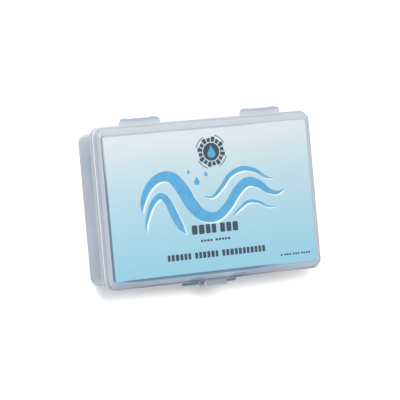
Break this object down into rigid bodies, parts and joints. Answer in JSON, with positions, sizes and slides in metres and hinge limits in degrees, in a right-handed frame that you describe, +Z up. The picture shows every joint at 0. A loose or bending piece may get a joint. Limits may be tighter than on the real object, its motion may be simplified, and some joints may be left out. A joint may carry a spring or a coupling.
{
  "type": "detailing clay bar in hinged case",
  "caption": "Blue detailing clay bar in clear film, kept in a frosted plastic case with a hinged, labelled lid and a flexing snap latch.",
  "frame": {"origin": "centre of the closed case on plan, on the flat underside it rests on", "axes": "+Z up through the lid of the closed case lying flat, +X along the long side, +Y towards the hinge, -Y towards the latch"},
  "size_m": [0.118, 0.0866, 0.028],
  "materials": {
    "frosted_pp": "fine frosted translucent polypropylene, satin",
    "lid_print": "smooth printed film label, pale to mid blue gradient",
    "base_print": "semi-matt printed paper label",
    "clay": "soft kneadable synthetic clay, waxy satin with fine grain",
    "clear_film": "thin clear wrapping film, glossy and creased"
  },
  "bodies": {
    "base": {"base_tray": "frosted_pp", "base_label": "base_print"},
    "lid_body": {"lid": "frosted_pp", "lid_label": "lid_print"},
    "latch": {"latch_tab": "frosted_pp"},
    "wrapped_bar": {"clay_bar": "clay", "film_wrap": "clear_film"}
  },
  "joints": [
    {"name": "lid_hinge", "type": "hinge", "parent": "base", "child": "lid_body", "pos_m": [0, 0.0418, 0.0219], "axis": [-1, 0, 0], "range_deg": [0, 180]},
    {"name": "latch_flex", "type": "hinge", "parent": "lid_body", "child": "latch", "pos_m": [0, -0.0406, 0.0235], "axis": [-1, 0, 0], "range_deg": [0, 10]},
    {"name": "bar_lift", "type": "slide", "parent": "base", "child": "wrapped_bar", "axis": [0, 0, 1], "range_m": [0, 0.0055]}
  ]
}
